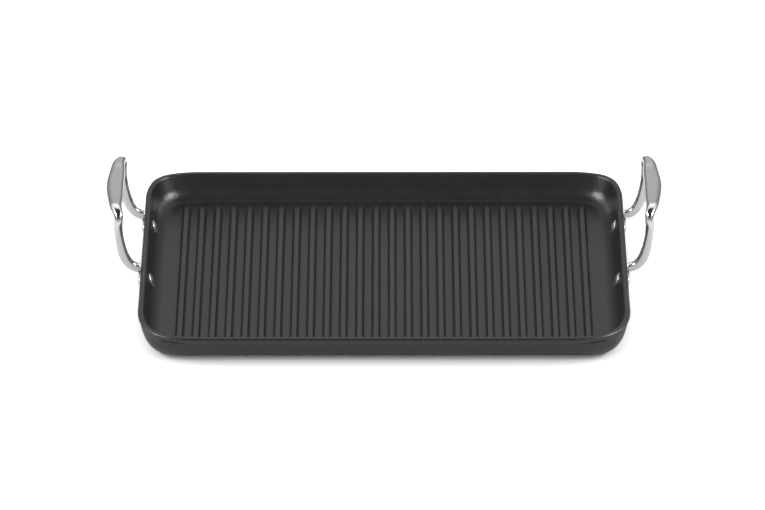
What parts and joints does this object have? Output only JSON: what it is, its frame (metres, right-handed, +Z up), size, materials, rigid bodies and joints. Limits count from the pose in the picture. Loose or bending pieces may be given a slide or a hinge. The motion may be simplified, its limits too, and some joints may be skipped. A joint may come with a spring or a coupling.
{
  "type": "ridged grill pan",
  "caption": "Shallow rectangular grill pan with a ribbed floor, rounded corners, a rim band and a riveted steel loop handle at each end.",
  "frame": {"origin": "centre of the flat underside, on the surface that the pan stands on", "axes": "+X along the pan from handle to handle, +Y to the back along the ribs, +Z up"},
  "size_m": [0.4004, 0.25, 0.072],
  "materials": {
    "pan_coating": "cast aluminium with a dark satin non-stick coating",
    "handle_steel": "cast stainless steel, polished",
    "rivet_steel": "stainless steel, satin"
  },
  "bodies": {
    "root": {"pan_body": "pan_coating", "handle_left": "handle_steel", "handle_right": "handle_steel", "rivet_left_front": "rivet_steel", "rivet_left_back": "rivet_steel", "rivet_right_front": "rivet_steel", "rivet_right_back": "rivet_steel"}
  },
  "joints": []
}
